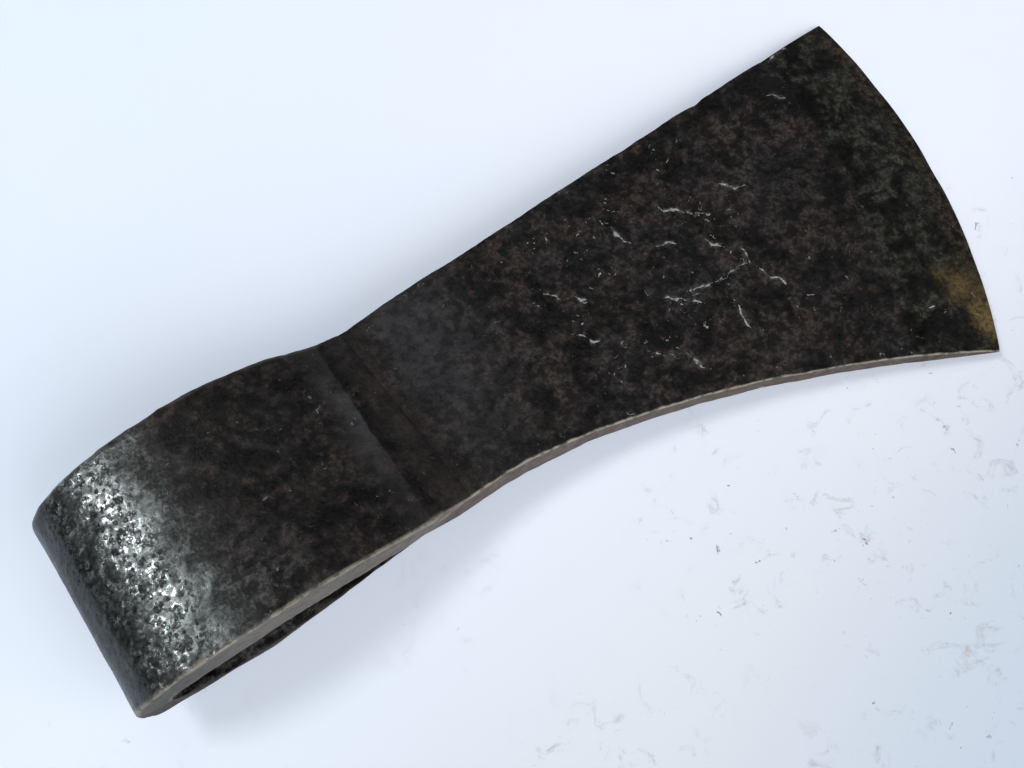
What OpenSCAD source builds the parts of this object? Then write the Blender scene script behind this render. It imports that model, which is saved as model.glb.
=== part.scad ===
// Broad axe head with a wrapped eye, in millimetres.
//
// An iron strap is folded round the eye. Its two scarfed ends clasp the wedge-shaped
// tongue of an iron blade, and a steel bit is let into a cleft along the blade's front.
//
// The head lies on its cheek, as it rests on a bench. The origin is the centre of the
// eye. +X runs from the poll towards the cutting edge, +Y along the eye from the beard
// side to the top, and +Z up out of the upper cheek. Lying down tips the nose by
// lie_angle about Y, so the eye's axis and both of its rims stay square to Y.

/* [Eye strap] */
// Width of the strap, which is the length of the eye's bore along the handle
strap_w = 55.5; // [52:0.5:60]
// Distance from the eye's centre to the outside of the poll
poll_x = 38; // [36:0.5:40]
// Half of the head's thickness at the belly of the eye
belly_h = 16; // [15:0.5:18]
// Length of the rounded fold at the poll
fold_l = 29; // [26:0.5:31]
// How far the middle of the poll is hollowed below its two rims
poll_hollow = 0.8; // [0.4:0.1:1.2]
// How far the top rim falls away at the poll
poll_fall = 3.4; // [2:0.1:4]
// How far the beard-side rim falls away at the poll
poll_fall_low = 1.6; // [0.5:0.1:2.5]
// Angle at which the beard side of the lower cheek is undercut
undercut = 14.5; // [10:0.5:18]
// Distance from the eye's centre to the crease where the cheek ends
crease_x = 37; // [36.5:0.1:38]
// Half of the head's thickness at the crease
crease_h = 7.8; // [7.2:0.1:8.4]

/* [Eye slot] */
// Half of the width of the slot that the handle fills
slot_h = 5.4; // [5:0.1:6.2]
// Distance from the eye's centre back to the slot's round end
slot_back = 29.5; // [28:0.5:30.5]
// Distance from the eye's centre forward to the slot's tip
slot_tip = 30; // [28:0.5:31]

/* [Lap weld] */
// Where the strap's ends stop on the blade, at mid height
lap_x = 47; // [46:0.5:48]
// Slant of the strap's ends, as travel towards the edge from top to bottom
lap_slant = 3; // [0:0.5:4]
// Half of the thickness over the two laps at their ends
lap_h = 4.9; // [4.8:0.1:5.6]
// Half of the blade's thickness where the laps end
tongue_h = 4.4; // [4:0.1:4.6]
// Where the blade's tongue starts between the strap's ends
tongue_x = 33; // [32.5:0.5:34]

/* [Blade] */
// Half width of the top side of the neck
neck_top = 25.9; // [25:0.1:27]
// Half width of the beard side of the neck
neck_low = 27.2; // [26.5:0.1:27.5]
// Rise of the blade's top line from the neck to the toe
toe_rise = 11; // [8:0.5:14]
// Drop of the beard line from the neck to the heel
beard_drop = 45; // [40:0.5:50]
// Distance from the eye's centre to the toe, at the top of the cutting edge
toe_x = 221.5; // [210:0.5:230]
// Half of the blade's thickness in front of the swell behind the neck
cheek_h = 3.2; // [2.8:0.1:3.6]
// Half of the thickness that the blade's taper runs down to at the toe
front_h = 1.6; // [1.5:0.05:1.8]

/* [Cutting edge] */
// Radius of the cutting edge
edge_r = 178; // [170:1:190]
// Slant of the head's front, as the angle of the edge's chord from square
edge_skew = 18; // [14:0.5:20]
// Visible width of the steel bit
bit_w = 26; // [22:0.5:30]
// Depth of the cleft that holds the bit's tang
tang_w = 14; // [10:0.5:18]
// Half of the thickness of the bit's tang where it enters the cleft
tang_h = 1.1; // [0.8:0.05:1.2]
// Width of the ground bevel
bevel_w = 6; // [4:0.5:8]
// Half of the bit's thickness where the bevel starts
bevel_h = 1.0; // [0.9:0.05:1.2]
// Half of the thickness left on the cutting edge
edge_h = 0.3; // [0.25:0.05:0.4]

/* [Hidden] */

curve_steps = 24;       // straight pieces in each formed curve
reach = 400;            // longer than any dimension of the head
belly_start = fold_l - poll_x;
belly_end = 4;          // the flank begins to fall here
crease_run = 2.4;       // length of the small step down at the crease
crease_drop = 1.0;      // height of that step
slot_fold_l = 25;       // length of the slot's round end
slot_tip_h = 0.5;       // half of the gap left at the slot's tip
slot_taper_x = -2;      // the slot begins to narrow here
tongue_tip_h = 0.3;     // half of the thickness of the tongue's end
rim_top = strap_w / 2;
rim_low = -strap_w / 2;
rim_fall_x = 25;        // the top rim begins to fall to the neck here
poll_fall_power = 1.3;  // shape of the top rim's fall to the poll: 1 is straight
low_fall_power = 3;     // the same for the rim on the beard side
fall_steps = 8;         // straight pieces in each fall
lap_inset = 0.6;        // the beard side of the laps stands this far inside the rim
poll_undercut = [-5, -8.2, -3.2];   // where the undercut starts, X and Z, and its skew
strap_undercut = [-5, -7.6, 3.6];   // the same for the strap in front of the eye
neck_undercut = [42, 3.8, -5.9];    // the same for the blade at the neck
neck_undercut_end = 26;             // length of the neck's undercut
swell_x = 66;           // the blade stays thick up to here
swell_h = 4.6;          // half of the thickness at the swell
swell_steps = 8;        // straight pieces in the swell's fall
cheek_x = 86;           // the even taper of the blade starts here
beard_x = 57;           // the beard line begins to drop here
beard_power = 1.62;     // shape of the beard line: 1 is straight
top_power = 0.8;        // shape of the top line: 1 is straight
tang_tip_h = 0.25;      // half of the thickness of the tang's end
grind_h = 2.7;          // half height at which the ground cheeks would meet the bit's root

// The edge is an arc from the toe down to the heel. Its centre is placed from the toe,
// with the chord leaning back by edge_skew.
toe_y = neck_top + toe_rise;
heel_y = -neck_low - beard_drop;
edge_chord = (toe_y - heel_y) / cos(edge_skew);
heel_x = toe_x - edge_chord * sin(edge_skew);
half_arc = asin(edge_chord / 2 / edge_r);
edge_centre = [
    toe_x - edge_r * cos(half_arc - edge_skew),
    toe_y - edge_r * sin(half_arc - edge_skew)
];

// The nose is down by the angle at which the belly and the cutting edge share one plane.
lie_angle = atan2(belly_h - edge_h, toe_x - belly_end);

iron = [0.22, 0.19, 0.18];
blade_iron = [0.20, 0.17, 0.16];
steel = [0.27, 0.28, 0.27];

// Eases from 0 to 1 with no kink at either end.
function ease(u) = (1 - cos(180 * u)) / 2;

// Points of a quarter ellipse from (x - a, 0) up to (x, b).
function quarter(x, a, b) = [
    for (i = [0:curve_steps])
        let (turn = 90 * i / curve_steps)
            [x - a * cos(turn), b * sin(turn)]
];

// Mirrors an open upper outline, given from the poll forwards, into a closed section.
function both_cheeks(upper) = concat(
    upper,
    [for (i = [len(upper) - 1:-1:0]) if (upper[i][1] > 0) [upper[i][0], -upper[i][1]]]
);

// The cheek's curve from the belly down to the crease. It is straight over its last part.
function flank(u) = belly_h - (belly_h - crease_h) * (0.35 * ease(u) + 0.65 * pow(u, 1.35));

strap_upper = concat(
    quarter(belly_start, fold_l, belly_h),
    [for (i = [0:curve_steps]) let (u = i / curve_steps)
        [belly_end + (crease_x - belly_end) * u, flank(u)]],
    [[crease_x + crease_run, crease_h - crease_drop]],
    [[lap_x + lap_slant, lap_h]]
);

slot_upper = concat(
    quarter(slot_fold_l - slot_back, slot_fold_l, slot_h),
    [[slot_taper_x, slot_h]],
    [[slot_tip, slot_tip_h]]
);

tongue_upper = [[tongue_x, tongue_tip_h], [lap_x + lap_slant, tongue_h]];

blade_upper = concat(
    tongue_upper,
    [for (i = [0:swell_steps]) let (u = i / swell_steps)
        [swell_x + (cheek_x - swell_x) * u, swell_h - (swell_h - cheek_h) * ease(u)]],
    [[toe_x, front_h]]
);

// A section in the X-Z plane, carried right across the head along Y.
module across(section) {
    rotate([90, 0, 0])
        translate([0, 0, -reach / 2])
            linear_extrude(reach)
                polygon(both_cheeks(section));
}

// An outline in the X-Y plane, carried right through the head along Z.
module through() {
    translate([0, 0, -reach / 2])
        linear_extrude(reach)
            children();
}

// The strap seen from above: straight rims, a hollow poll and slanting ends.
module strap_outline() {
    hollow_r = (rim_top * rim_top + poll_hollow * poll_hollow) / (2 * poll_hollow);
    difference() {
        polygon([
            for (i = [0:fall_steps]) let (u = i / fall_steps)
                [(belly_end + poll_x) * u - poll_x, rim_low + poll_fall_low * pow(1 - u, low_fall_power)],
            [crease_x, rim_low],
            [crease_x + crease_run, rim_low + lap_inset],
            [lap_x + lap_slant / 2, rim_low + lap_inset],
            [lap_x - lap_slant / 2, neck_top],
            [crease_x, neck_top],
            [rim_fall_x, rim_top],
            for (i = [fall_steps:-1:0]) let (u = i / fall_steps)
                [(belly_end + poll_x) * u - poll_x, rim_top - poll_fall * pow(1 - u, poll_fall_power)],
        ]);
        translate([poll_hollow - poll_x - hollow_r, 0])
            circle(hollow_r, $fn = 180);
    }
}

// The blade seen from above, with its tongue at the back and the full arc of the edge.
module blade_outline() {
    beard = [for (i = [0:curve_steps]) let (u = i / curve_steps)
        [beard_x + (heel_x - beard_x) * u, -neck_low - beard_drop * pow(u, beard_power)]];
    top = [for (i = [curve_steps:-1:0]) let (u = i / curve_steps)
        [lap_x + (toe_x - lap_x) * u, neck_top + toe_rise * pow(u, top_power)]];
    intersection() {
        polygon(concat(
            [[tongue_x, neck_top], [tongue_x, -neck_low]],
            beard,
            [[toe_x + 10, heel_y], [toe_x + 10, toe_y]],
            top
        ));
        translate(edge_centre)
            circle(edge_r, $fn = 180);
    }
}

// A ring section turned about the centre of the cutting edge.
module edge_ring(upper) {
    translate([edge_centre[0], edge_centre[1], 0])
        rotate([0, 0, -60])
            rotate_extrude(angle = 90, $fn = 180)
                polygon(both_cheeks(upper));
}

// The bit across the edge: its tang, a shoulder that butts on the iron, and the ground cheek.
bit_upper = [
    [edge_r - bit_w - tang_w, tang_tip_h],
    [edge_r - bit_w, tang_h],
    [edge_r - bit_w, grind_h],
    [edge_r - bevel_w, bevel_h],
    [edge_r, edge_h],
];

// All that lies in front of the blade's iron: the cleft and everything beyond it.
bit_space = [
    [edge_r - bit_w - tang_w, tang_tip_h],
    [edge_r - bit_w, tang_h],
    [edge_r - bit_w, belly_h],
    [edge_r + bit_w, belly_h],
];

// Everything on the beard side of a plane that leans in towards the lower cheek.
module beyond_undercut(start, rim, length) {
    translate([start[0], rim, start[1]])
        rotate([undercut, 0, start[2]])
            translate([length - reach, -reach, -reach / 2])
                cube(reach);
}

module lying() {
    rotate([0, lie_angle, 0])
        children();
}

module eye_strap() {
    color(iron)
        lying()
            difference() {
                intersection() {
                    across(strap_upper);
                    through() strap_outline();
                }
                across(slot_upper);
                across(tongue_upper);
                beyond_undercut(poll_undercut, rim_low, reach / 2);
                beyond_undercut(strap_undercut, rim_low, reach / 2);
            }
}

module blade() {
    color(blade_iron)
        lying()
            difference() {
                intersection() {
                    across(blade_upper);
                    through() blade_outline();
                }
                edge_ring(bit_space);
                beyond_undercut(neck_undercut, -neck_low, neck_undercut_end);
            }
}

module steel_bit() {
    color(steel)
        lying()
            intersection() {
                edge_ring(bit_upper);
                across(blade_upper);
                through() blade_outline();
            }
}

eye_strap();
blade();
steel_bit();
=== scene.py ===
import bpy
import bmesh
import math
import numpy as np
from mathutils import Matrix, Vector


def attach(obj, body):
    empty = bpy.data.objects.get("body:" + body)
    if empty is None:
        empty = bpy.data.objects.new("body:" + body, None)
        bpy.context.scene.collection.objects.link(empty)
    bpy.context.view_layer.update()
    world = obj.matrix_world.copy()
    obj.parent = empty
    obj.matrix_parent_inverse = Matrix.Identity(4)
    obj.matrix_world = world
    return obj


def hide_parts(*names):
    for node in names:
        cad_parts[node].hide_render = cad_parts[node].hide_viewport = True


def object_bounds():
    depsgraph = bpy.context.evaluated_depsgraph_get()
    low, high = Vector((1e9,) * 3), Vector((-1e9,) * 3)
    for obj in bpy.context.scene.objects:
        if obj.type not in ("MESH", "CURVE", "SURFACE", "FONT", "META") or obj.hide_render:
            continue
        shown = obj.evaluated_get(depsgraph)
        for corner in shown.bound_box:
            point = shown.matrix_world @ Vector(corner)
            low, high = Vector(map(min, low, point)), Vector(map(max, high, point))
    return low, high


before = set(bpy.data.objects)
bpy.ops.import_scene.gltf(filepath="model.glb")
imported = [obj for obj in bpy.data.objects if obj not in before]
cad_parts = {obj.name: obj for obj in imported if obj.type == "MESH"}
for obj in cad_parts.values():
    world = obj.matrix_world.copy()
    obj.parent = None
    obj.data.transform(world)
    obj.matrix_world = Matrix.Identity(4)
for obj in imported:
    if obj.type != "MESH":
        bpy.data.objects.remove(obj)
cad_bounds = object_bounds()

# ---------------------------------------------------------------------------
# The head's main lines, in millimetres, in its own flat frame: the origin is the eye's
# centre, X runs to the edge, Y along the eye, and the mid-plane is z = 0. The packed
# model lies on its cheek, which is this frame turned by LIE about Y.
# ---------------------------------------------------------------------------
MM = 0.001
BELLY_H, BELLY_END = 16.0, 4.0
TOE_X, EDGE_H = 221.5, 0.3
LIE = math.atan2(BELLY_H - EDGE_H, TOE_X - BELLY_END)
POLL_X, RIM, POLL_FALL_LOW = 38.0, 27.75, 1.6
CREASE_X, LAP_X, LAP_SLANT = 37.0, 47.0, 3.0
NECK_TOP, NECK_LOW = 25.9, 27.2
TOE_RISE, BEARD_DROP = 11.0, 45.0
TONGUE_X, BEARD_X = 33.0, 57.0
BEARD_POWER, TOP_POWER = 1.62, 0.8
EDGE_R, EDGE_SKEW, BIT_W, BEVEL_W = 178.0, 18.0, 26.0, 6.0
TOE_Y, HEEL_Y = NECK_TOP + TOE_RISE, -NECK_LOW - BEARD_DROP
CHORD = (TOE_Y - HEEL_Y) / math.cos(math.radians(EDGE_SKEW))
HEEL_X = TOE_X - CHORD * math.sin(math.radians(EDGE_SKEW))
HALF_ARC = math.asin(CHORD / 2 / EDGE_R)
CENTRE = np.array([
    TOE_X - EDGE_R * math.cos(HALF_ARC - math.radians(EDGE_SKEW)),
    TOE_Y - EDGE_R * math.sin(HALF_ARC - math.radians(EDGE_SKEW)),
])

TILT = np.array([
    [math.cos(LIE), 0, math.sin(LIE)],
    [0, 1, 0],
    [-math.sin(LIE), 0, math.cos(LIE)],
])


def to_row(flat_mm):
    """Flat-frame millimetres to row-frame metres."""
    return (np.asarray(flat_mm) @ TILT.T) * MM


def to_flat(row_m):
    """Row-frame metres to flat-frame millimetres."""
    return (np.asarray(row_m) / MM) @ TILT


# ---------------------------------------------------------------------------
# Noise
# ---------------------------------------------------------------------------
def hashed(i, j, k, seed):
    h = (i * 374761393 + j * 668265263 + k * 1274126177 + seed * 974634777) & 0xFFFFFFFF
    h = ((h ^ (h >> 13)) * 1103515245) & 0xFFFFFFFF
    h = ((h ^ (h >> 16)) * 2246822519) & 0xFFFFFFFF
    return (h ^ (h >> 15)) & 0xFFFFFFFF


def gradient_noise(p, size, seed):
    """Smooth noise from about -1 to 1 with features of the given size."""
    q = np.asarray(p, float) / size
    cell = np.floor(q).astype(np.int64)
    f = q - cell
    w = f * f * f * (f * (f * 6 - 15) + 10)
    total = np.zeros(len(q))
    for dx in (0, 1):
        for dy in (0, 1):
            for dz in (0, 1):
                h = hashed(cell[:, 0] + dx, cell[:, 1] + dy, cell[:, 2] + dz, seed)
                gx = (h & 1023) / 511.5 - 1
                gy = ((h >> 10) & 1023) / 511.5 - 1
                gz = ((h >> 20) & 1023) / 511.5 - 1
                dot = gx * (f[:, 0] - dx) + gy * (f[:, 1] - dy) + gz * (f[:, 2] - dz)
                wx = w[:, 0] if dx else 1 - w[:, 0]
                wy = w[:, 1] if dy else 1 - w[:, 1]
                wz = w[:, 2] if dz else 1 - w[:, 2]
                total += dot * wx * wy * wz
    return total * 1.6


def dents(p, size, seed, density, r_low, r_high):
    """0 to 1: round-bottomed dents scattered one to a cell, in a share of the cells."""
    q = np.asarray(p, float) / size
    cell = np.floor(q).astype(np.int64)
    best = np.zeros(len(q))
    for dx in (-1, 0, 1):
        for dy in (-1, 0, 1):
            for dz in (-1, 0, 1):
                c = cell + (dx, dy, dz)
                h = hashed(c[:, 0], c[:, 1], c[:, 2], seed)
                g = hashed(c[:, 0], c[:, 1], c[:, 2], seed + 7)
                centre = c + np.stack([(h & 255), (h >> 8) & 255, (h >> 16) & 255], 1) / 255.0
                radius = r_low + (r_high - r_low) * ((g & 1023) / 1023.0)
                there = ((g >> 10) & 1023) / 1023.0 < density
                d = np.linalg.norm((q - centre) * size, axis=1) / radius
                best = np.maximum(best, np.where(there & (d < 1), 1 - d * d, 0))
    return best


def step(x, low, high):
    t = np.clip((x - low) / (high - low), 0, 1)
    return t * t * (3 - 2 * t)


# ---------------------------------------------------------------------------
# Where the surface is cracked, pitted or flaked, in flat-frame mm
# ---------------------------------------------------------------------------
# Cracks on the upper side: start x, start y, length, turn in degrees.
FLAWS = (
    (154.6, 9.0, 8.4, -35), (137.0, 11.7, 8.2, -44), (143.0, 6.0, 5.5, -36),
    (120.7, 15.3, 7.8, -69), (141.0, -2.6, 6.3, -70), (127.3, -12.7, 9.5, -14),
    (136.0, -14.2, 9.2, -5), (147.7, -9.5, 5.6, -103), (147.5, -17.9, 8.0, -74),
    (120.2, -10.9, 9.2, -42), (135.4, -21.5, 9.2, -106), (113.8, -24.7, 7.6, -72),
    (108.1, -21.6, 6.4, -44), (94.0, -6.5, 6.6, -51), (95.0, 7.7, 4.4, -66),
    (128.5, 3.0, 5.0, -20), (101.0, 2.0, 4.0, -35), (-28.3, -18.6, 8.5, -91),
    (198.0, 34.6, 7.5, 6), (189.0, 24.5, 5.0, -60), (178.0, -52.5, 3.0, -30),
)
# Lumps, then pits: x, y, radius, height or depth.
LUMPS = ((111.5, -11.2, 2.6, 0.40), (12.0, -18.0, 2.2, 0.30))
PITS = ((170.8, -55.1, 1.5, 0.55), (133.4, -40.4, 1.3, 0.45), (126.0, -33.5, 0.9, 0.3))


FLAW_REACH = 3.0        # the distance painted across a flaw runs from minus to plus this


def flaw_field(p):
    """Signed distance in mm across the nearest flaw, and how open the flaw is there."""
    signed = np.full(len(p), FLAW_REACH)
    there = np.zeros(len(p))
    for n, (x, y, length, turn) in enumerate(FLAWS):
        a = math.radians(turn)
        along = (p[:, 0] - x) * math.cos(a) + (p[:, 1] - y) * math.sin(a)
        side = -(p[:, 0] - x) * math.sin(a) + (p[:, 1] - y) * math.cos(a)
        near = np.flatnonzero((along > -2) & (along < length + 2) & (np.abs(side) < 4.5))
        if not len(near):
            continue
        s, d = along[near], side[near]
        apart = 13.7 * n
        line = np.stack([s, np.full(len(s), apart), np.zeros(len(s))], 1)
        d = d - 1.5 * gradient_noise(line, 3.6, 41) - 0.6 * gradient_noise(line, 1.6, 42)
        ends = step(s, -0.8, 0.8) * (1 - step(s, length - 0.8, length + 0.8))
        width = np.clip(0.45 + 0.75 * gradient_noise(line, 2.1, 44), 0, 1)
        closer = np.abs(d) < np.abs(signed[near])
        signed[near] = np.where(closer, d, signed[near])
        there[near] = np.where(closer, ends * width, there[near])
    there *= 1 - step(np.abs(signed), 1.2, 1.6)
    return signed, there


def plate_relief(p):
    """The forged skin's parts, the same functions of place for all three pieces."""
    forged = 0.22 * gradient_noise(p, 21, 1) + 0.10 * gradient_noise(p, 9, 2)
    skin = 0.045 * gradient_noise(p, 3.1, 3) + 0.030 * gradient_noise(p, 1.5, 4)
    ragged = gradient_noise(p, 7.5, 5) + 0.45 * gradient_noise(p, 2.6, 6)
    ragged += 0.2 * gradient_noise(p, 1.3, 7)
    flake = step(ragged, 0.10, 0.30)
    rusty = step(gradient_noise(p, 17, 8), -0.15, 0.35)
    small = dents(p + 0.4 * gradient_noise(p, 1.5, 9)[:, None], 2.4, 10, 0.35, 0.5, 1.1)
    wide = dents(p + 0.8 * gradient_noise(p, 2.4, 11)[:, None], 6.0, 12, 0.30, 1.0, 2.3)
    return forged, skin, flake, rusty, small, wide


# ---------------------------------------------------------------------------
# Mesh helpers
# ---------------------------------------------------------------------------
def mesh_object(name, row_points, faces):
    mesh = bpy.data.meshes.new(name)
    mesh.from_pydata([tuple(v) for v in row_points], [], faces)
    mesh.update()
    obj = bpy.data.objects.new(name, mesh)
    bpy.context.scene.collection.objects.link(obj)
    return obj


def points_of(obj):
    """Row-frame metres."""
    co = np.zeros(len(obj.data.vertices) * 3, np.float32)
    obj.data.vertices.foreach_get("co", co)
    return co.reshape(-1, 3).astype(float)


def set_points(obj, row_points):
    obj.data.vertices.foreach_set("co", row_points.astype(np.float32).ravel())
    obj.data.update()


def normals_of(obj):
    n = np.zeros(len(obj.data.vertices) * 3, np.float32)
    obj.data.vertex_normals.foreach_get("vector", n)
    return n.reshape(-1, 3).astype(float)


def paint(obj, name, values):
    attribute = obj.data.attributes.new(name, "FLOAT", "POINT")
    attribute.data.foreach_set("value", np.clip(values, 0, 1).astype(np.float32))


def edges_of(obj):
    e = np.zeros(len(obj.data.edges) * 2, np.int32)
    obj.data.edges.foreach_get("vertices", e)
    return e.reshape(-1, 2)


def neighbour_mean(values, edges, count):
    total = np.zeros((count, values.shape[1]))
    np.add.at(total, edges[:, 0], values[edges[:, 1]])
    np.add.at(total, edges[:, 1], values[edges[:, 0]])
    links = np.bincount(edges.ravel(), minlength=count)[:, None]
    return total / np.maximum(links, 1)


def convexity(obj, rounds):
    """Positive on arrises and high spots, negative in hollows, in mm."""
    p, n, e = points_of(obj), normals_of(obj), edges_of(obj)
    smooth = p.copy()
    for _ in range(rounds):
        smooth = neighbour_mean(smooth, e, len(p))
    return ((p - smooth) * n).sum(1) / MM


def keep_inside(points):
    """No point leaves the CAD model's box."""
    low, high = np.array(cad_bounds[0]), np.array(cad_bounds[1])
    return np.clip(points, low + 1e-5, high - 1e-5)


# ---------------------------------------------------------------------------
# Outline of the blade, a little uneven
# ---------------------------------------------------------------------------
def line_noise(x, size, seed):
    x = np.atleast_1d(np.asarray(x, float))
    return gradient_noise(np.stack([x, np.zeros(len(x)), np.zeros(len(x))], 1), size, seed)


def beard_y(x):
    x = np.atleast_1d(np.asarray(x, float))
    u = np.clip((x - BEARD_X) / (HEEL_X - BEARD_X), 0, 1.2)
    ragged = 0.28 * line_noise(x, 11, 61) + 0.10 * line_noise(x, 3.3, 62)
    return -NECK_LOW - BEARD_DROP * u ** BEARD_POWER + (ragged + 0.1) * step(x, 48, 54)


def top_y(x):
    x = np.atleast_1d(np.asarray(x, float))
    u = np.clip((x - LAP_X) / (TOE_X - LAP_X), 0, 1.2)
    ragged = 0.30 * line_noise(x, 12, 63) + 0.12 * line_noise(x, 3.6, 64)
    chip = 0.75 * np.exp(-((x - 203.0) / 3.6) ** 2) + 0.55 * np.exp(-((x - 168.0) / 2.2) ** 2)
    kink = 0.35 * np.exp(-((x - 141.0) / 3.0) ** 2) + 0.3 * np.exp(-((x - 196.0) / 1.5) ** 2)
    return NECK_TOP + TOE_RISE * u ** TOP_POWER + (ragged - 0.1) * step(x, 48, 54) - chip - kink


def plate_h(x, r):
    """Half thickness of the blade and bit at x, and at radius r about the edge's centre."""
    along = np.interp(x, [TONGUE_X, 42, 45, 47, 50, 58, 66, 71, 76, 81, 86, TOE_X],
                      [0.3, 3.9, 4.95, 5.16, 5.05, 4.8, 4.6, 4.42, 3.9, 3.38, 3.2, 1.6])
    ground = np.interp(r, [EDGE_R - 56, EDGE_R - BIT_W, EDGE_R - BEVEL_W, EDGE_R], [4.7, 2.7, 1.0, EDGE_H])
    return np.minimum(along, ground)


def arc_point(radius, y_limit):
    """X where the circle of this radius about CENTRE crosses the line y_limit(x)."""
    low, high = 100.0, 230.0
    for _ in range(60):
        mid = (low + high) / 2
        y = float(y_limit(mid)[0])
        if math.hypot(mid - CENTRE[0], y - CENTRE[1]) < radius:
            low = mid
        else:
            high = mid
    return low


def root_radius(angle):
    """The weld line between the iron and the steel wanders along the edge."""
    a = np.atleast_1d(np.asarray(angle, float)) * EDGE_R
    wander = 2.3 * line_noise(a, 17, 71) + 1.3 * line_noise(a, 6.5, 72) + 0.5 * line_noise(a, 2.2, 73)
    return EDGE_R - BIT_W + wander


def past_root(p):
    """How far a point lies past the weld line, in mm: positive on the steel."""
    d = p[:, :2] - CENTRE
    return np.linalg.norm(d, axis=1) - root_radius(np.arctan2(d[:, 1], d[:, 0]))


def weld_ends():
    """The angles about CENTRE at which the weld line meets the beard and the top."""
    ends = []
    for limit in (beard_y, top_y):
        x = arc_point(EDGE_R - BIT_W, limit)
        ends.append(math.atan2(float(limit(x)[0]) - CENTRE[1], x - CENTRE[0]))
    return ends


def around(angles, radii):
    """Points at these angles and radii about CENTRE."""
    return CENTRE + np.stack([np.cos(angles), np.sin(angles)], 1) * radii[:, None]


def graded(count, fine):
    """0 to 1 in count steps, finer towards both ends."""
    t = np.linspace(0, 1, count)
    return t - fine * np.sin(2 * math.pi * t) / (2 * math.pi)


# ---------------------------------------------------------------------------
# Two-sided slab on a grid of (x, y) points
# ---------------------------------------------------------------------------
def slab(name, grid, top, bottom, rim_rows):
    """grid is (nu, nv, 2); top and bottom are (nu, nv) heights; all four sides are walled."""
    nu, nv = top.shape
    layer = nu * nv
    upper = np.concatenate([grid, top[..., None]], 2).reshape(-1, 3)
    lower = np.concatenate([grid, bottom[..., None]], 2).reshape(-1, 3)
    index = np.arange(layer).reshape(nu, nv)
    loop = np.concatenate([index[:, 0], index[-1, 1:], index[-2::-1, -1], index[0, -2:0:-1]])
    rows = [upper[loop] + (lower[loop] - upper[loop]) * (k / rim_rows) for k in range(1, rim_rows)]
    points = np.concatenate([upper, lower] + rows)
    a, b = index[:-1, :-1].ravel(), index[1:, :-1].ravel()
    c, d = index[1:, 1:].ravel(), index[:-1, 1:].ravel()
    faces = [np.stack([a, b, c, d], 1), np.stack([d, c, b, a], 1) + layer]
    ring = [loop] + [2 * layer + len(loop) * k + np.arange(len(loop)) for k in range(rim_rows - 1)]
    ring.append(loop + layer)
    for k in range(rim_rows):
        one, two = ring[k], ring[k + 1]
        faces.append(np.stack([one, two, np.roll(two, -1), np.roll(one, -1)], 1))
    return mesh_object(name, to_row(points), np.concatenate(faces).tolist())


def round_drop(distance, radius):
    """How far a rounded arris of this radius drops at this distance from the rim."""
    d = np.clip(distance, 0, radius)
    return radius - np.sqrt(np.maximum(radius ** 2 - (radius - d) ** 2, 0))


CELL = 0.56       # size of a mesh cell on the blade and bit, in mm
UNDERLAP = 0.5                      # how far the bit reaches in under the blade's last row


def build_blade():
    ang_low, ang_top = weld_ends()
    nu, nv = int(160 / CELL), int(78 / CELL)
    v = graded(nv, 0.75)
    angles = ang_low + (ang_top - ang_low) * v
    radii = root_radius(angles)
    front = around(angles, radii)
    x_low_end = arc_point(float(radii[0]), beard_y)
    x_top_end = arc_point(float(radii[-1]), top_y)
    u = np.linspace(0, 1, nu)
    xb = TONGUE_X + (x_low_end - TONGUE_X) * u
    xt = TONGUE_X + (x_top_end - TONGUE_X) * u
    low = np.stack([xb, beard_y(xb)], 1)
    high = np.stack([xt, top_y(xt)], 1)
    low[-1], high[-1] = front[0], front[-1]
    grid = low[:, None] * (1 - v)[None, :, None] + high[:, None] * v[None, :, None]
    bulge = front - (low[-1] * (1 - v)[:, None] + high[-1] * v[:, None])
    grid += bulge[None] * (u ** 2.2)[:, None, None]
    h = plate_h(grid[..., 0], np.linalg.norm(grid - CENTRE, axis=2))
    across = np.linalg.norm(high - low, axis=1)[:, None]
    side = np.minimum(v[None] * across, (1 - v)[None] * across) * 0.93
    drop = round_drop(side, 0.7) * 0.75
    h[-1] -= 0.07
    return slab("blade_forged", grid, h - drop, -(h - drop), 10)


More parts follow.
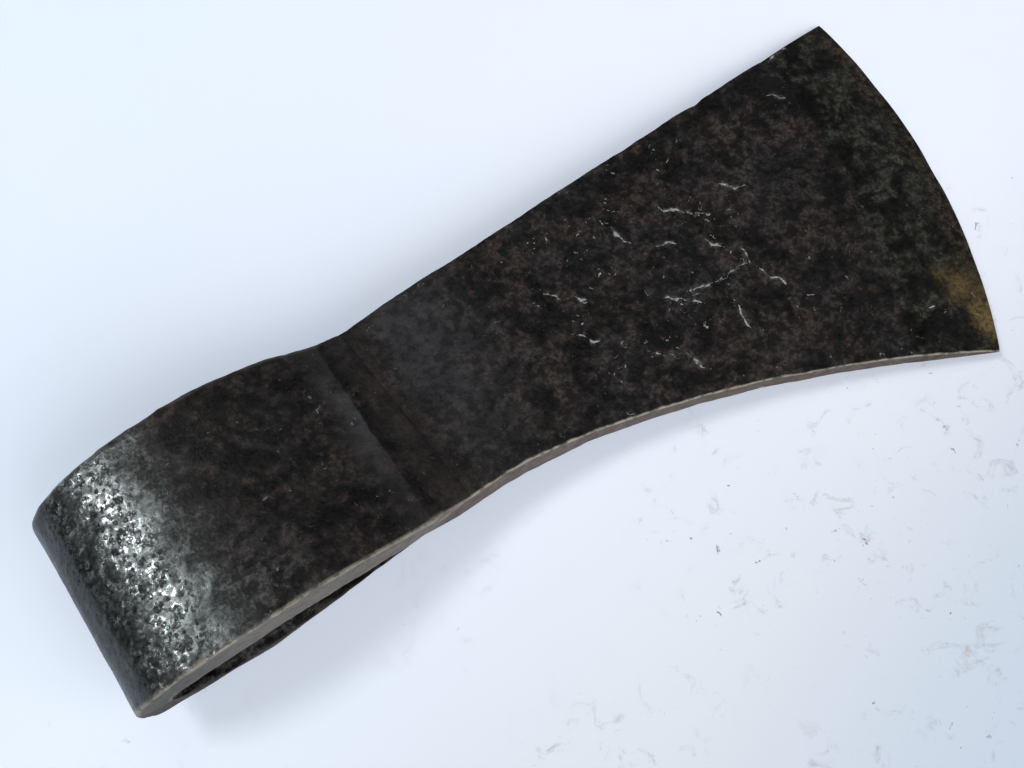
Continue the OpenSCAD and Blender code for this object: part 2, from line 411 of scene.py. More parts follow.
def build_bit():
    ang_low, ang_top = weld_ends()
    toe = math.atan2(TOE_Y - CENTRE[1], TOE_X - CENTRE[0])
    heel = math.atan2(HEEL_Y - CENTRE[1], HEEL_X - CENTRE[0])
    nu, nv = int(34 / CELL), int(150 / CELL)
    v = graded(nv, 0.75)
    inner_a = ang_low + (ang_top - ang_low) * v
    inner_r = root_radius(inner_a) - UNDERLAP
    inner = around(inner_a, inner_r)
    outer_a = heel + (toe - heel) * v
    arc_mm = outer_a * EDGE_R
    nicks = np.clip(line_noise(arc_mm, 5.5, 81) - 0.45, 0, 1) * 0.9
    nicks += np.clip(line_noise(arc_mm, 1.6, 82) - 0.6, 0, 1) * 0.5
    worn = 0.45 * np.clip(line_noise(arc_mm, 16, 83), 0, 1) * step(v, 0.02, 0.1)
    corner = 0.30 * np.exp(-v * 120) + 0.25 * np.exp(-(1 - v) * 60)
    outer_r = EDGE_R - 0.03 - nicks * step(v, 0.02, 0.08) - worn - corner
    outer = around(outer_a, outer_r)
    u = 1 - (1 - np.linspace(0, 1, nu)) ** 1.25
    grid = inner[None] * (1 - u)[:, None, None] + outer[None] * u[:, None, None]
    grid[:, 0, 1] = np.maximum(grid[:, 0, 1], beard_y(grid[:, 0, 0]))
    grid[:, -1, 1] = np.minimum(grid[:, -1, 1], top_y(grid[:, -1, 0]))
    r = np.linalg.norm(grid - CENTRE, axis=2) + (EDGE_R - outer_r)[None] * u[:, None] ** 2
    h = plate_h(grid[..., 0], r)
    h[0] -= 0.04
    span = np.linalg.norm(grid[:, -1] - grid[:, 0], axis=1)[:, None]
    side = np.minimum(v[None] * span, (1 - v)[None] * span)
    reach = np.minimum(0.6, h * 0.8)
    drop = round_drop(side * 0.6 / reach, 0.6) * reach / 0.6 * 0.7
    return slab("steel_bit_forged", grid, h - drop, -(h - drop), 6)


def build_strap():
    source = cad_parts["eye_strap"]
    obj = bpy.data.objects.new("eye_strap_forged", source.data.copy())
    bpy.context.scene.collection.objects.link(obj)
    obj.data.materials.clear()
    bm = bmesh.new()
    bm.from_mesh(obj.data)
    bmesh.ops.remove_doubles(bm, verts=bm.verts, dist=1e-6)
    bm.to_mesh(obj.data)
    bm.free()
    remesh = obj.modifiers.new("remesh", "REMESH")
    remesh.mode = "VOXEL"
    remesh.voxel_size = 0.55 * MM
    smooth = obj.modifiers.new("smooth", "SMOOTH")
    smooth.factor, smooth.iterations = 0.5, 6
    bpy.context.view_layer.update()
    made = bpy.data.meshes.new_from_object(obj.evaluated_get(bpy.context.evaluated_depsgraph_get()))
    obj.modifiers.clear()
    obj.data = made
    made.name = "eye_strap_forged"
    return obj


def rim_low_y(x):
    """The strap's rim on the beard side."""
    u = np.clip((x + POLL_X) / (BELLY_END + POLL_X), 0, 1)
    return -RIM + POLL_FALL_LOW * (1 - u) ** 3


def soften(obj, weight, rounds):
    """Relaxes the mesh where weight is above 0."""
    p, e = points_of(obj), edges_of(obj)
    for _ in range(rounds):
        p += (neighbour_mean(p, e, len(p)) - p) * weight[:, None]
    set_points(obj, p)


def forge(obj, kind):
    """Adds the relief to one piece and paints the masks its material reads."""
    if kind == "strap":
        p, n = to_flat(points_of(obj)), normals_of(obj) @ TILT
        top_rim = step(p[:, 1], 20, 24) * step(n[:, 2], -0.2, 0.2)
        laps = step(p[:, 0], 36, 39)
        soften(obj, 0.6 * np.maximum(top_rim, 0.6 * laps), 14)
        p = to_flat(points_of(obj))
        lap_end = LAP_X - LAP_SLANT * p[:, 1] / (2 * RIM)
        sink = 0.075 + 0.05 * p[:, 1] / RIM
        p[:, 2] *= 1 - sink * step(p[:, 0] - lap_end, -3.0, 0.2)
        set_points(obj, to_row(p))
    p, n = to_flat(points_of(obj)), normals_of(obj) @ TILT
    x, y = p[:, 0], p[:, 1]
    wear_and_highlight = step(convexity(obj, 4), 0.05, 0.16)
    upper = step(n[:, 2], 0.2, 0.6)
    low_line = rim_low_y(x) if kind == "strap" else beard_y(x)
    from_rim = y - low_line + 0.25 * gradient_noise(p, 2.3, 93)
    low_arris = (1 - step(from_rim, 0.15, 0.75)) * step(n[:, 2], 0.25, 0.5)
    signed, there = flaw_field(p)
    there = there * upper
    forged, skin, flake, rusty, small, wide = plate_relief(p)
    flaws = there * (0.08 * np.exp(-((signed - 0.8) / 0.5) ** 2) - 0.20 * np.exp(-(signed / 0.5) ** 2))
    past = past_root(p)
    if kind == "strap":
        fold = 1 - step(x, -24, -2)
        band = np.exp(-((x + 18.0) / 7.5) ** 2) * step(n[:, 2], 0.3, 0.7)
        pitted = np.maximum(step(band, 0.1, 0.5), 0.35)
        relief = forged + skin * (1.2 - 0.6 * fold) - 0.07 * flake * (1 - fold) - 0.17 * small * pitted
        relief -= 0.28 * wide * rusty * (1 - 0.7 * fold) + 0.20
        beat = step(n[:, 2], 0.2, 0.5) * np.exp(-((x + 27.0) / 6.5) ** 2)
        beaten = dents(p + 0.5 * gradient_noise(p, 2.0, 94)[:, None], 3.6, 95, 0.75, 0.8, 1.7)
        relief -= 0.30 * beat * beaten
        uneven = 0.35 * gradient_noise(p, 6.5, 96) + 0.2 * gradient_noise(p, 2.8, 97)
        relief += np.minimum(uneven, 0.12) * step(np.abs(y), 25.0, 27.0)
        steel = np.zeros(len(p))
        wear_and_highlight = wear_and_highlight * (1 - step(x, 38, 42) * upper) * (1 - step(y, 18, 24) * 0.6)
    else:
        far = step(x, 120, 185)
        iron = forged * (1 - 0.35 * far) + skin - 0.07 * flake
        iron -= (0.28 * wide + 0.12 * small) * rusty + 0.12
        radius = np.linalg.norm(p[:, :2] - CENTRE, axis=1)
        near_edge = step(radius, EDGE_R - 9, EDGE_R - 3)
        bit = (forged * 0.7 + skin * 0.6 - 0.14 * wide - 0.06 * small) * (1 - 0.92 * near_edge) - 0.06
        ground = step(past, -1, 8)
        relief = iron * (1 - ground) + bit * ground
        steel = step(past + 0.7 * gradient_noise(p, 2.2, 74), -1.0, 1.0)
        seam = step(np.abs(past), 0.9, 2.2)
        wear_and_highlight = wear_and_highlight * seam
        flat = seam < 0.2
        n[flat] = (0, 0, 1) * np.sign(p[flat, 2])[:, None]
    relief += flaws
    for lx, ly, radius_mm, height in LUMPS:
        d = np.hypot(x - lx, y - ly) + 0.5 * gradient_noise(p, 1.8, 91)
        relief += height * np.exp(-(d / radius_mm) ** 2) * upper
    hole = np.zeros(len(p))
    for lx, ly, radius_mm, depth in PITS:
        d = np.hypot(x - lx, y - ly) + 0.4 * gradient_noise(p, 1.8, 92)
        shape = np.exp(-(d / radius_mm) ** 4) * upper
        relief -= depth * shape
        hole = np.maximum(hole, shape)
    relief *= 1 - step(np.abs(n[:, 1]), 0.45, 0.8) * 0.6
    set_points(obj, keep_inside(to_row(p + n * relief[:, None])))
    paint(obj, "wear_and_highlight", wear_and_highlight)
    paint(obj, "low_arris", low_arris)
    paint(obj, "deep", np.clip(0.8 * wide * rusty + 0.5 * small + 0.25 * flake + hole, 0, 1))
    paint(obj, "flaw_across", signed / (2 * FLAW_REACH) + 0.5)
    paint(obj, "flaw_open", there)
    paint(obj, "steel", steel)
    obj.data.polygons.foreach_set("use_smooth", np.ones(len(obj.data.polygons), bool))
    obj.data.update()
    return obj


# ---------------------------------------------------------------------------
# Materials
# ---------------------------------------------------------------------------
class Nodes:
    """Short names for the few shader nodes used."""

    def __init__(self, name):
        self.material = bpy.data.materials.new(name)
        self.material.use_nodes = True
        self.tree = self.material.node_tree
        self.tree.nodes.clear()
        self.out = self.add("ShaderNodeOutputMaterial")
        self.bsdf = self.add("ShaderNodeBsdfPrincipled")
        self.link(self.bsdf.outputs[0], self.out.inputs[0])
        coords = self.add("ShaderNodeTexCoord").outputs["Object"]
        turned = self.add("ShaderNodeMapping")
        turned.inputs["Rotation"].default_value = (0, -LIE, 0)
        turned.inputs["Scale"].default_value = (1 / MM,) * 3
        self.link(coords, turned.inputs["Vector"])
        self.mm = turned.outputs[0]

    def add(self, kind):
        return self.tree.nodes.new(kind)

    def link(self, a, b):
        self.tree.links.new(a, b)

    def put(self, value, socket):
        if hasattr(value, "is_output"):
            self.link(value, socket)
        elif isinstance(value, (tuple, list)) and len(value) == 3:
            socket.default_value = (*value, 1.0)
        else:
            socket.default_value = value

    def noise(self, size, detail=4.0, rough=0.55, warp=0.0, offset=0.0):
        node = self.add("ShaderNodeTexNoise")
        node.inputs["Scale"].default_value = 1.0 / size
        node.inputs["Detail"].default_value = detail
        node.inputs["Roughness"].default_value = rough
        node.inputs["Distortion"].default_value = warp
        if offset:
            shift = self.add("ShaderNodeMapping")
            shift.inputs["Location"].default_value = (offset, offset * 0.7, offset * 1.3)
            self.link(self.mm, shift.inputs["Vector"])
            self.link(shift.outputs[0], node.inputs["Vector"])
        else:
            self.link(self.mm, node.inputs["Vector"])
        return node.outputs["Fac"]

    def pits(self, size, ragged, low, high):
        """0 in round pits about this far apart, 1 between them."""
        node = self.add("ShaderNodeTexVoronoi")
        node.inputs["Scale"].default_value = 1.0 / size
        self.link(self.mm, node.inputs["Vector"])
        shift = self.times(self.math("SUBTRACT", ragged, 0.5), 0.9)
        return self.ramp(self.math("ADD", node.outputs["Distance"], shift), low, high)

    def ramp(self, value, low, high, a=0.0, b=1.0):
        node = self.add("ShaderNodeMapRange")
        node.interpolation_type = "SMOOTHSTEP"
        self.put(value, node.inputs["Value"])
        for name, number in (("From Min", low), ("From Max", high), ("To Min", a), ("To Max", b)):
            node.inputs[name].default_value = number
        return node.outputs["Result"]

    def math(self, kind, a, b):
        node = self.add("ShaderNodeMath")
        node.operation = kind
        node.use_clamp = False
        self.put(a, node.inputs[0])
        self.put(b, node.inputs[1])
        return node.outputs[0]

    def times(self, a, b):
        return self.math("MULTIPLY", a, b)

    def mix(self, fac, a, b):
        node = self.add("ShaderNodeMix")
        node.data_type = "RGBA"
        self.put(fac, node.inputs["Factor"])
        self.put(a, node.inputs[6])
        self.put(b, node.inputs[7])
        return node.outputs[2]

    def blend(self, fac, a, b):
        node = self.add("ShaderNodeMix")
        node.data_type = "FLOAT"
        self.put(fac, node.inputs[0])
        self.put(a, node.inputs[2])
        self.put(b, node.inputs[3])
        return node.outputs[0]

    def scale(self, colour, factor):
        node = self.add("ShaderNodeVectorMath")
        node.operation = "SCALE"
        if hasattr(colour, "is_output"):
            self.link(colour, node.inputs[0])
        else:
            node.inputs[0].default_value = colour
        self.put(factor, node.inputs["Scale"])
        return node.outputs[0]

    def attribute(self, name):
        node = self.add("ShaderNodeAttribute")
        node.attribute_name = name
        return node.outputs["Fac"]

    def axis(self, which):
        node = self.add("ShaderNodeSeparateXYZ")
        self.link(self.mm, node.inputs[0])
        return node.outputs[which]

    def facing(self, which):
        """A component of the surface's normal, from -1 to 1."""
        geometry = self.add("ShaderNodeNewGeometry")
        node = self.add("ShaderNodeSeparateXYZ")
        self.link(geometry.outputs["Normal"], node.inputs[0])
        return node.outputs[which]

    def bump(self, height, distance_mm, strength=1.0, under=None):
        node = self.add("ShaderNodeBump")
        node.inputs["Distance"].default_value = distance_mm * MM
        node.inputs["Strength"].default_value = strength
        self.link(height, node.inputs["Height"])
        if under is not None:
            self.link(under, node.inputs["Normal"])
        return node.outputs[0]


# Colours, linear. The first group is the iron's, the second the rubbed places', the rims' and the
# painted sheens and glints, the third the steel's, the last the floor's, with its painted glow and shade.
BLACK = (0.0036, 0.0030, 0.0028)
BROWN = (0.0255, 0.0195, 0.0168)
RUST = (0.0330, 0.0222, 0.0188)
BLUISH = (0.0200, 0.0190, 0.0210)
GREY = (0.0400, 0.0400, 0.0405)
LAP_BROWN = (0.0190, 0.0148, 0.0135)
CREASE_SHEEN = (0.078, 0.075, 0.080)
NECK_SHEEN = (0.0480, 0.0475, 0.0540)
BRIGHT = (0.64, 0.64, 0.62)
FLAKED = (0.105, 0.103, 0.106)
CREAM = (0.40, 0.36, 0.29)
TAN = (0.138, 0.118, 0.102)
OCHRE = (0.080, 0.067, 0.058)
POLL_RIM = (0.055, 0.055, 0.050)
DARK_TAN = (0.030, 0.023, 0.018)
PINKISH = (0.112, 0.077, 0.059)
POLL = (0.160, 0.175, 0.172)
STRUCK_GLINT = (0.54, 0.59, 0.61)
GREEN_BLACK = (0.0040, 0.0042, 0.0033)
GREEN_GREY = (0.0270, 0.0270, 0.0208)
BEVEL = (0.0300, 0.0226, 0.0152)
BRASS = (0.2400, 0.1640, 0.0620)
FLOOR_BLUE = (0.815, 0.895, 0.975)
FLOOR_WHITE = (0.900, 0.925, 0.965)
FLOOR_SOFT = (0.850, 0.895, 0.955)
FLOOR_CORNER_SHADE = (0.62, 0.72, 0.84)
FLOOR_GLOW = (0.67, 0.76, 1.0)
DUST = (0.40, 0.37, 0.36)
CRUMB = (0.10, 0.09, 0.08)


def flaw_lines(m):
    """Painted highlights on the flaws' lips, and the paler flaking beside them."""
    signed = m.times(m.math("SUBTRACT", m.attribute("flaw_across"), 0.5), 2 * FLAW_REACH)
    across = m.math("ABSOLUTE", signed, 0.0)
    ragged = m.times(m.math("SUBTRACT", m.noise(0.9, 3, 0.6, 0.4, 66), 0.5), 0.9)
    opened = m.attribute("flaw_open")
    inside = m.math("SUBTRACT", m.times(opened, 0.62), m.math("ADD", across, ragged))
    breaks = m.ramp(m.noise(1.7, 4, 0.6, 0.4, 65), 0.42, 0.50, 0.10, 1.0)
    uneven = m.ramp(m.noise(0.6, 3, 0.6, 0.0, 21), 0.36, 0.56, 0.30, 1.0)
    lip_glints = m.times(m.times(m.ramp(inside, -0.04, 0.20), breaks), uneven)
    beside = m.times(m.ramp(across, 1.5, 0.3), m.ramp(opened, 0.05, 0.45))
    beside = m.times(beside, m.ramp(m.noise(1.4, 5, 0.68, 0.3, 67), 0.44, 0.60))
    return lip_glints, beside


def forged_iron(m, low):
    """Colour of the forged skin: black scale, brown and pinkish rust, all finely mottled."""
    patch = m.noise(9.0, 7, 0.66, 0.3, 31)
    broad = m.noise(26, 5, 0.6, 0.2)
    pink = m.noise(6.0, 6, 0.64, 0.2, 11)
    mottle = m.noise(2.6, 5, 0.66, 0.1, 45)
    grain = m.noise(1.0, 4, 0.66, 0.0, 57)
    colour = m.mix(m.ramp(patch, 0.41, 0.59), BLACK, BROWN)
    colour = m.mix(m.times(m.ramp(pink, 0.55, 0.63), m.ramp(broad, 0.42, 0.55, 0.1, 0.85)), colour, RUST)
    colour = m.mix(m.times(m.ramp(broad, 0.52, 0.42), 0.35), colour, BLUISH)
    colour = m.mix(m.times(low, m.ramp(mottle, 0.44, 0.56)), colour, GREY)
    strong = m.times(m.ramp(mottle, 0.40, 0.60, 0.35, 1.75), m.ramp(grain, 0.40, 0.60, 0.45, 1.65))
    return m.scale(colour, strong), patch, mottle, grain


def tiny_glints(m, region):
    """Rare painted glints, bright flecks a millimetre or so long."""
    fleck = m.ramp(m.noise(1.6, 3, 0.62, 1.0, 71), 0.665, 0.71)
    here = m.ramp(m.noise(11, 3, 0.6, 0.4, 80), 0.48, 0.58, 0.0, 0.85)
    return m.times(m.times(fleck, region), here)


def beard_side(m):
    """1 on the walls that face the beard side."""
    return m.ramp(m.facing("Y"), -0.45, -0.80)


def far_from(m, x, y, at_x, at_y, long, wide):
    """Distance from a spot, as a share of its two half sizes."""
    across = m.math("DIVIDE", m.math("SUBTRACT", x, at_x), long)
    along = m.math("DIVIDE", m.math("SUBTRACT", y, at_y), wide)
    return m.math("SQRT", m.math("ADD", m.times(across, across), m.times(along, along)), 0.0)


def strap_material(name):
    m = Nodes(name)
    x, y, z = m.axis("X"), m.axis("Y"), m.axis("Z")
    deep = m.attribute("deep")
    soft = m.math("SUBTRACT", m.noise(8, 5, 0.6, 0.5, 19), 0.5)
    low = m.ramp(m.math("ADD", y, m.times(soft, 30.0)), -6.0, -22.0, 0.0, 0.7)
    low = m.times(low, m.ramp(x, 14.0, -2.0))
    colour, patch, mottle, grain = forged_iron(m, low)
    fine = m.noise(0.5, 4, 0.6, 0.0, 83)
    colour = m.scale(colour, m.ramp(x, -4.0, 14.0, 1.0, 0.72))
    # The crease: a painted sheen towards the eye, then a strip of painted shade that fades forwards.
    wave = m.math("ADD", x, m.times(m.math("SUBTRACT", m.noise(9, 3, 0.5, 0.0, 8), 0.5), 2.4))
    wave = m.math("ADD", wave, m.times(y, -0.018))
    pale = m.times(m.ramp(wave, 28.0, 36.6), m.ramp(wave, 37.4, 36.8))
    pale = m.times(pale, m.ramp(m.noise(12, 3, 0.5, 0.3, 61), 0.38, 0.56, 0.3, 1.0))
    pale = m.times(pale, m.ramp(y, -20.0, -4.0, 0.25, 1.0))
    colour = m.mix(m.times(pale, 0.60), colour, CREASE_SHEEN)
    crease_shade = m.times(m.ramp(wave, 36.9, 37.5), m.ramp(wave, 40.5, 38.0))
    colour = m.mix(m.times(crease_shade, 0.35), colour, BLACK)
    colour = m.mix(m.times(m.ramp(wave, 38.5, 41.0), 0.5), colour, LAP_BROWN)
    colour = m.mix(m.times(deep, 0.5), colour, BLACK)
    # The fold is rubbed nearly bright, with scale left in its dents.
    edge_on = m.ramp(m.facing("Z"), -0.5, 0.0)
    fold = m.times(m.ramp(m.math("ADD", x, m.times(soft, 22.0)), -2.0, -17.0), edge_on)
    band = m.times(m.ramp(x, -12.0, -18.0), m.ramp(x, -35.5, -31.0))
    spot = far_from(m, x, y, -15.0, -24.0, 9.0, 6.0)
    spot = m.ramp(m.math("ADD", spot, m.times(m.math("SUBTRACT", mottle, 0.5), 1.8)), 1.2, 0.3)
    spot = m.times(spot, m.ramp(z, 6.0, 10.0))
    shoulder = m.times(m.ramp(y, 20.0, 24.5), m.ramp(x, 0.0, -14.0))
    back = m.ramp(x, -27.0, -32.0)
    uneven = m.math("MAXIMUM", m.ramp(mottle, 0.36, 0.52, 0.48, 1.0), m.times(back, 0.90))
    polish = m.math("MAXIMUM", m.times(fold, uneven), m.times(spot, 0.7))
    polish = m.math("MAXIMUM", polish, m.times(m.times(shoulder, edge_on), 0.85))
    outside = m.math("MAXIMUM", m.ramp(m.math("ABSOLUTE", z, 0.0), 6.2, 8.0), m.ramp(x, -30.5, -32.5))
    polish = m.times(m.times(polish, outside), m.blend(deep, 1.0, 0.45))
    shade = m.blend(back, m.ramp(grain, 0.38, 0.62, 0.62, 1.20), m.ramp(grain, 0.30, 0.70, 0.32, 0.50))
    colour = m.mix(m.times(polish, 0.9), colour, m.scale(POLL, shade))
    # Painted highlights: bright lips round the dents of the band that was struck most.
    dent_glints = m.times(m.pits(2.6, grain, 0.26, 0.40), m.pits(2.6, grain, 0.60, 0.44))
    struck = m.ramp(m.math("ADD", x, m.times(soft, 8.0)), -13.0, -20.0)
    struck = m.times(struck, m.ramp(x, -32.0, -28.0))
    dent_glints = m.times(m.times(dent_glints, m.times(struck, outside)), m.times(edge_on, m.ramp(mottle, 0.44, 0.58)))
    colour = m.scale(colour, m.blend(struck, 1.0, 0.78))
    colour = m.mix(m.times(dent_glints, 0.52), colour, STRUCK_GLINT)
    lip_glints, beside = flaw_lines(m)
    colour = m.mix(m.times(beside, 0.5), colour, FLAKED)
    # Painted glints: the flaws' bright lips and a few tiny flecks.
    painted_glints = m.math("MAXIMUM", lip_glints, m.times(tiny_glints(m, 0.5), 0.6))
    # Arrises and high spots: real wear, painted pale with a highlight as well.
    arris = m.times(m.math("MAXIMUM", m.attribute("low_arris"), m.times(m.attribute("wear_and_highlight"), 0.7)),
                    m.ramp(m.noise(3.0, 4, 0.6, 0.2, 12), 0.36, 0.54, 0.30, 1.0))
    arris = m.times(arris, m.ramp(z, -1.5, 1.0))
    rim = m.times(beard_side(m), m.ramp(m.noise(5, 5, 0.6, 0.3, 9), 0.25, 0.55, 0.75, 1.0))
    rim = m.times(rim, m.ramp(m.math("ABSOLUTE", y, 0.0), 24.0, 25.6))
    above = m.ramp(m.math("ADD", z, m.times(soft, 2.0)), -1.2, 0.8)
    ochre = m.mix(m.ramp(mottle, 0.42, 0.60, 0.0, 0.5), TAN, OCHRE)
    ochre = m.mix(m.ramp(x, -8.0, -26.0, 0.0, 0.8), ochre, POLL_RIM)
    colour = m.mix(rim, colour, m.mix(above, DARK_TAN, ochre))
    colour = m.mix(m.times(arris, 0.85), colour, CREAM)
    colour = m.mix(painted_glints, colour, BRIGHT)
    m.put(colour, m.bsdf.inputs["Base Color"])
    metal = m.times(m.ramp(polish, 0.02, 0.40), m.blend(rim, 0.95, 0.1))
    metal = m.math("MAXIMUM", metal, m.math("MAXIMUM", m.times(painted_glints, 0.7), m.times(arris, 0.3)))
    m.put(metal, m.bsdf.inputs["Metallic"])
    rough = m.blend(m.ramp(patch, 0.4, 0.6), 0.42, 0.58)
    rough = m.blend(polish, rough, m.blend(m.ramp(grain, 0.4, 0.6), 0.21, 0.34))
    rough = m.blend(dent_glints, rough, 0.17)
    rough = m.blend(rim, rough, 0.6)
    rough = m.blend(m.times(deep, 0.6), rough, 0.62)
    m.put(rough, m.bsdf.inputs["Roughness"])
    m.put(m.blend(m.ramp(grain, 0.4, 0.6), 0.30, 0.14), m.bsdf.inputs["Specular IOR Level"])
    small_pits = m.pits(1.5, grain, 0.10, 0.42)
    large_pits = m.pits(3.1, grain, 0.12, 0.36)
    pitted = m.times(large_pits, m.ramp(x, -20.0, -25.0, 0.2, 1.1))
    pitted = m.math("ADD", m.times(small_pits, 0.5), pitted)
    mottled = m.times(mottle, m.blend(fold, 0.45, 0.12))
    skin = m.math("ADD", mottled, m.times(grain, m.blend(fold, 0.30, 0.07)))
    skin = m.math("ADD", skin, m.times(m.times(band, fold), m.times(pitted, 0.36)))
    m.put(m.bump(fine, 0.04, 0.8, m.bump(skin, 1.0, 0.9)), m.bsdf.inputs["Normal"])
    return m.material


def plate_material(name):
    """The blade's iron, turning into the steel of the edge where "steel" is painted."""
    m = Nodes(name)
    x, y = m.axis("X"), m.axis("Y")
    deep, steel = m.attribute("deep"), m.attribute("steel")
    dx = m.math("SUBTRACT", x, float(CENTRE[0]))
    dy = m.math("SUBTRACT", y, float(CENTRE[1]))
    radius = m.math("SQRT", m.math("ADD", m.times(dx, dx), m.times(dy, dy)), 0.0)
    iron, patch, mottle, grain = forged_iron(m, 0.0)
    fine = m.noise(0.5, 4, 0.6, 0.0, 87)
    soft = m.math("SUBTRACT", m.noise(8, 5, 0.6, 0.5, 19), 0.5)
    # The neck: brown like the laps at first, then a painted bluish sheen.
    reach = m.math("ADD", x, m.times(soft, 14.0))
    iron = m.mix(m.ramp(reach, 53.0, 47.0, 0.0, 0.5), iron, LAP_BROWN)
    sheen = m.times(m.ramp(reach, 48.0, 55.0), m.ramp(reach, 88.0, 58.0))
    sheen = m.times(sheen, m.ramp(y, -24.0, 6.0, 0.25, 0.60))
    sheen = m.times(sheen, m.ramp(mottle, 0.36, 0.60, 0.5, 1.0))
    iron = m.mix(sheen, iron, NECK_SHEEN)
    bit_patch = m.noise(9.0, 6, 0.64, 0.4, 3)
    bit = m.mix(m.ramp(bit_patch, 0.42, 0.58), GREEN_BLACK, GREEN_GREY)
    strong = m.times(m.ramp(mottle, 0.41, 0.59, 0.40, 1.70), m.ramp(grain, 0.40, 0.60, 0.50, 1.55))
    bit = m.scale(bit, strong)
    wobble = m.times(soft, 9.0)
    ground = m.ramp(m.math("ADD", radius, wobble), EDGE_R - BEVEL_W - 2.4, EDGE_R - BEVEL_W + 1.6)
    bit = m.mix(m.times(ground, m.ramp(mottle, 0.40, 0.58, 0.45, 0.95)), bit, m.scale(BEVEL, strong))
    # Straw-coloured stains near the heel.
    for at_x, at_y, long, wide, much in ((191.5, -51.5, 6.8, 6.8, 0.62), (190.5, -63.5, 4.2, 7.0, 0.90)):
        away = far_from(m, x, y, at_x, at_y, long, wide)
        away = m.math("ADD", away, m.times(m.math("SUBTRACT", mottle, 0.5), 2.0))
        away = m.math("ADD", away, m.times(soft, 2.2))
        stain = m.times(m.ramp(away, 1.25, 0.1), m.ramp(grain, 0.38, 0.58, 0.4 * much, much))
        bit = m.mix(stain, bit, BRASS)
    colour = m.mix(steel, iron, bit)
    # Scale burnt black beside the toe.
    burnt = far_from(m, m.math("ADD", x, m.times(y, 0.45)), y, 203.0, 26.0, 7.0, 16.0)
    burnt = m.math("ADD", burnt, m.times(soft, 3.0))
    burnt = m.math("ADD", burnt, m.times(m.math("SUBTRACT", mottle, 0.5), 1.6))
    colour = m.mix(m.ramp(burnt, 1.1, 0.7, 0.0, 0.85), colour, BLACK)
    colour = m.mix(m.times(deep, 0.5), colour, BLACK)
    rough_area = m.times(m.ramp(x, 84.0, 100.0), m.ramp(x, 178.0, 150.0))
    lip_glints, beside = flaw_lines(m)
    colour = m.mix(m.times(beside, 0.7), colour, FLAKED)
    # Painted glints: the flaws' bright lips and a few tiny flecks.
    painted_glints = m.math("MAXIMUM", lip_glints, tiny_glints(m, m.blend(rough_area, 0.25, 1.0)))
    # Arrises and high spots: real wear, painted pale with a highlight as well.
    arris = m.times(m.math("MAXIMUM", m.attribute("low_arris"), m.times(m.attribute("wear_and_highlight"), 0.15)),
                    m.ramp(m.noise(2.6, 4, 0.6, 0.2, 12), 0.36, 0.54, 0.30, 1.0))
    pinkish = m.times(beard_side(m), m.blend(m.ramp(mottle, 0.42, 0.60), 0.90, 0.45))
    colour = m.mix(pinkish, colour, PINKISH)
    colour = m.mix(m.times(arris, 0.9), colour, CREAM)
    colour = m.mix(painted_glints, colour, BRIGHT)
    m.put(colour, m.bsdf.inputs["Base Color"])
    metal = m.blend(steel, 0.0, m.blend(ground, 0.10, 0.30))
    metal = m.math("MAXIMUM", metal, m.math("MAXIMUM", m.times(painted_glints, 0.7), m.times(arris, 0.3)))
    m.put(metal, m.bsdf.inputs["Metallic"])
    rough = m.blend(m.ramp(patch, 0.4, 0.6), 0.42, 0.58)
    rough = m.blend(m.times(deep, 0.6), rough, 0.62)
    m.put(rough, m.bsdf.inputs["Roughness"])
    glossy = m.blend(m.ramp(grain, 0.4, 0.6), 0.27, 0.12)
    m.put(m.times(glossy, m.blend(steel, 1.0, 0.65)), m.bsdf.inputs["Specular IOR Level"])
    bumps = m.bump(grain, 0.26, 0.9, m.bump(mottle, 0.50, 0.9))
    m.put(m.bump(fine, 0.06, 0.8, bumps), m.bsdf.inputs["Normal"])
    return m.material


